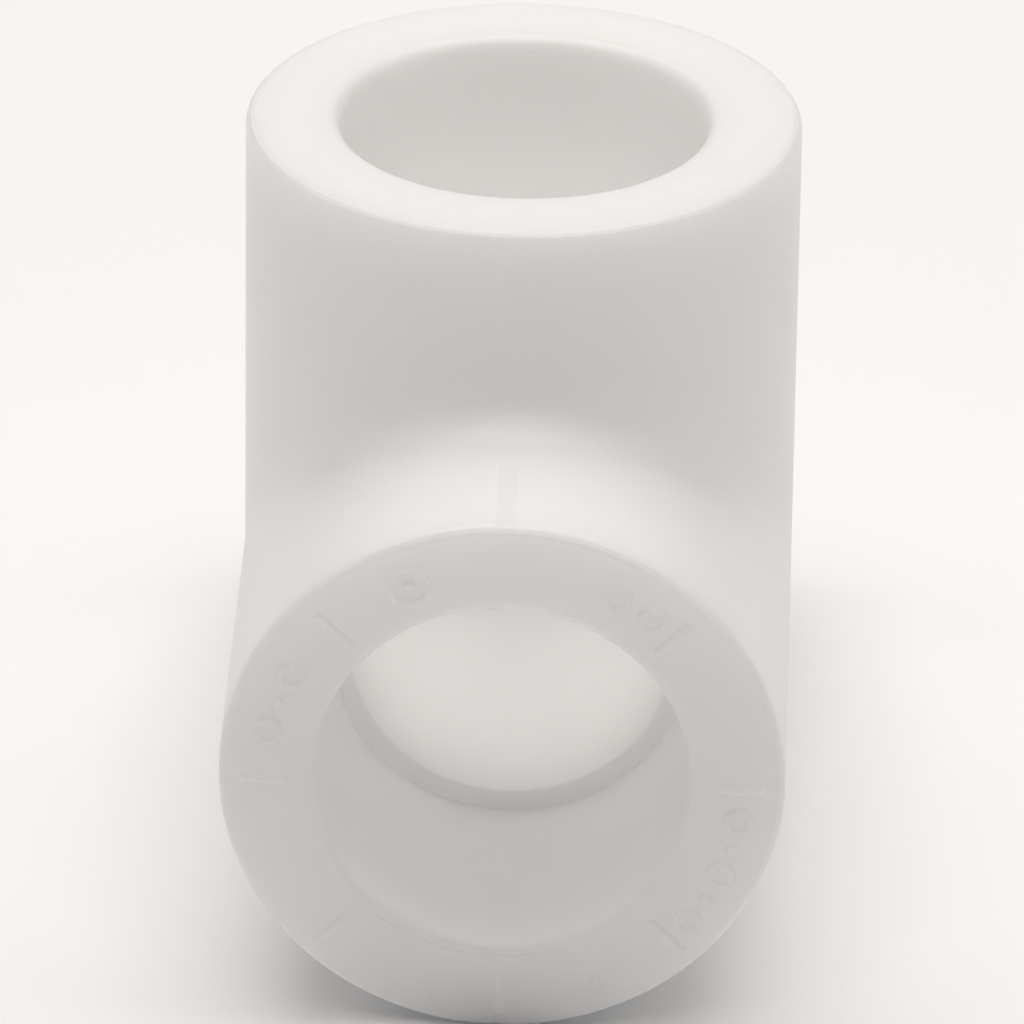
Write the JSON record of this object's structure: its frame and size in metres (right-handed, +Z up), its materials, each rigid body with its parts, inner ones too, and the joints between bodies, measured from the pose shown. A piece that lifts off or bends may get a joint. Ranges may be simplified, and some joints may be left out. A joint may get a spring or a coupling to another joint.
{
  "type": "tee fitting",
  "caption": "Equal socket-fusion tee: a straight run between two opposite pipe sockets, with a third socket branching upwards at a right angle.",
  "frame": {"origin": "centre of the bounding box's base, straight below the crossing of the axes and level with the run's lowest line; the axes cross at (0, 0, 14.5) mm", "axes": "+Z up along the branch; -Y out of the run's front socket, +Y out of its rear socket; +X to the right seen from the front"},
  "size_m": [0.029, 0.0512, 0.0401],
  "materials": {
    "moulded_polypropylene": "white injection-moulded polypropylene, semi-matte and slightly translucent"
  },
  "bodies": {
    "root": {"tee_body": "moulded_polypropylene"}
  },
  "joints": []
}
